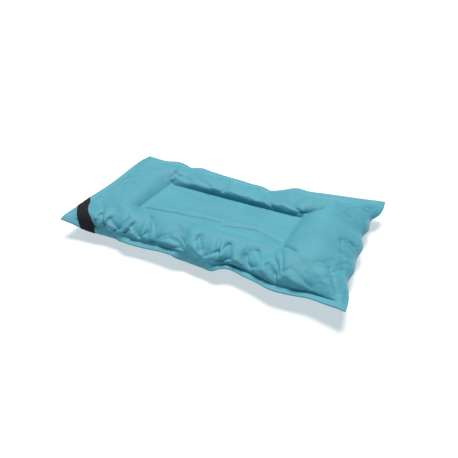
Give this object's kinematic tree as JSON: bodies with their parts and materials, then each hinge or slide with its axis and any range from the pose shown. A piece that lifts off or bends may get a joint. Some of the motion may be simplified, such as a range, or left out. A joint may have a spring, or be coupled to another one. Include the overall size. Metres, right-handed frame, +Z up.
{
  "type": "inflatable camp pillow",
  "caption": "Inflatable camp pillow with a flat central recess, a welded border, a corner retaining strap and a twist valve.",
  "frame": {"origin": "centre of the footprint, on the surface that the pillow lies on", "axes": "+X along the pillow, away from the strap and valve end; -Y its front long edge, so that the strap is at the -X -Y corner; +Z up"},
  "size_m": [0.49, 0.288, 0.0677],
  "materials": {
    "panel_fabric": "coated plain-weave polyester, satin, teal",
    "elastic": "ribbed woven elastic, matte, black",
    "thread": "polyester thread, black",
    "valve_soft": "soft moulded TPU, dark grey",
    "valve_hard": "moulded plastic, fine texture, black",
    "seal": "nitrile rubber, black"
  },
  "bodies": {
    "pillow": {"top_panel": "panel_fabric", "bottom_panel": "panel_fabric", "strap_stitches": "thread", "valve_flange": "valve_soft", "valve_body": "valve_hard", "valve_post_seal": "seal"},
    "strap": {"retaining_strap": "elastic"},
    "valve_seal": {"valve_cap_seal": "seal"},
    "valve_cap": {"valve_cap": "valve_hard"}
  },
  "joints": [
    {"name": "strap_flip", "type": "hinge", "parent": "pillow", "child": "strap", "pos_m": [-0.21182, -0.11312, 0.034], "axis": [0.6751, -0.7377, 0], "range_deg": [0, 180], "deforming": ["retaining_strap"]},
    {"name": "valve_cap_lift", "type": "slide", "parent": "pillow", "child": "valve_seal", "axis": [-0.7431, 0, -0.6691], "range_m": [0, 0.003]},
    {"name": "valve_cap_twist", "type": "hinge", "parent": "valve_seal", "child": "valve_cap", "pos_m": [-0.20947, 0, 0.01104], "axis": [-0.7431, 0, -0.6691], "range_deg": [0, 300]}
  ],
  "couplings": [
    {"joint": "valve_cap_twist", "follows": "valve_cap_lift", "rad_per_m": 1745}
  ]
}
